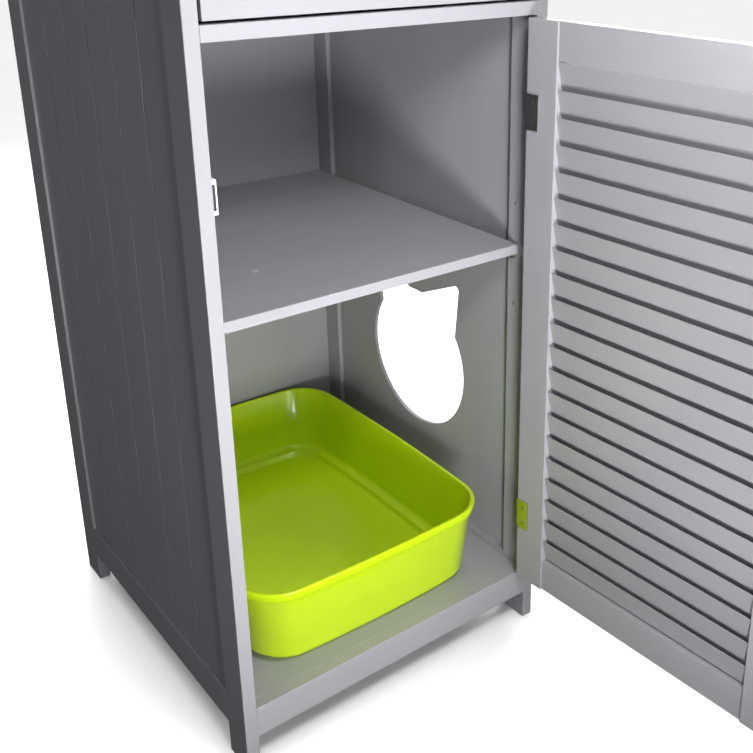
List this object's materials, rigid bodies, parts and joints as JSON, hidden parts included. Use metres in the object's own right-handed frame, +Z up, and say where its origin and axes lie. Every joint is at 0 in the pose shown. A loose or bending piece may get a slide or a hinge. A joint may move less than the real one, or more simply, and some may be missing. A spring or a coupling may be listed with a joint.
{
  "type": "cat litter box cabinet",
  "caption": "Upright painted litter box cabinet with a louvre door, a drawer, a shelf, a cat's head entrance in its side and a lime green litter pan.",
  "frame": {"origin": "the middle of the left front foot's underside, on the floor", "axes": "+X to the right seen from the front, +Y from the front to the back, +Z up; metres"},
  "size_m": [0.4532, 0.8706, 0.95],
  "materials": {
    "grey_paint": "satin painted board",
    "beech": "planed, unpainted",
    "nickel_plate": "bright nickel plated steel",
    "satin_nickel": "satin nickel",
    "screw_steel": "zinc plated",
    "white_plastic": "moulded",
    "magnet_black": "bare ferrite",
    "lime_plastic": "glossy moulded"
  },
  "bodies": {
    "cabinet": {"left_front_stile": "grey_paint", "left_rear_stile": "grey_paint", "left_bottom_rail": "grey_paint", "left_top_rail": "grey_paint", "left_panel": "grey_paint", "right_front_stile": "grey_paint", "right_rear_stile": "grey_paint", "right_bottom_rail": "grey_paint", "right_top_rail": "grey_paint", "right_panel": "grey_paint", "front_rail": "grey_paint", "floor_board": "grey_paint", "divider_board": "grey_paint", "top_board": "grey_paint", "back_board": "grey_paint", "shelf": "grey_paint", "left_drawer_runner": "beech", "right_drawer_runner": "beech", "dowels": "beech", "upper_hinge_frame_leaf": "nickel_plate", "upper_hinge_pin": "nickel_plate", "lower_hinge_frame_leaf": "nickel_plate", "lower_hinge_pin": "nickel_plate", "shelf_pins": "nickel_plate", "shelf_cap": "nickel_plate", "hinge_frame_screws": "screw_steel", "catch_screws": "screw_steel", "runner_screws": "screw_steel", "catch_body": "white_plastic", "catch_magnet": "magnet_black"},
    "door": {"door_free_stile": "grey_paint", "door_hinge_stile": "grey_paint", "door_bottom_rail": "grey_paint", "door_top_rail": "grey_paint", "louvre_slats": "grey_paint", "upper_hinge_door_leaf": "nickel_plate", "lower_hinge_door_leaf": "nickel_plate", "hinge_door_screws": "screw_steel", "strike_plate": "nickel_plate", "strike_screw": "screw_steel", "door_knob": "satin_nickel", "door_knob_screw": "screw_steel"},
    "drawer": {"drawer_front": "grey_paint", "drawer_left_side": "grey_paint", "drawer_right_side": "grey_paint", "drawer_back": "grey_paint", "drawer_floor": "grey_paint", "drawer_knob": "satin_nickel", "drawer_knob_screw": "screw_steel"},
    "pan": {"litter_pan": "lime_plastic"}
  },
  "joints": [
    {"name": "door_hinge", "type": "hinge", "parent": "cabinet", "child": "door", "pos_m": [0.3973, -0.023, 0.43], "axis": [0, 0, 1], "range_deg": [-92.5, 72.5]},
    {"name": "drawer_slide", "type": "slide", "parent": "cabinet", "child": "drawer", "axis": [0, -1, 0], "range_m": [0, 0.28]},
    {"name": "pan_lift", "type": "slide", "parent": "cabinet", "child": "pan", "axis": [0, 0, 1], "range_m": [0, 0.25]}
  ]
}
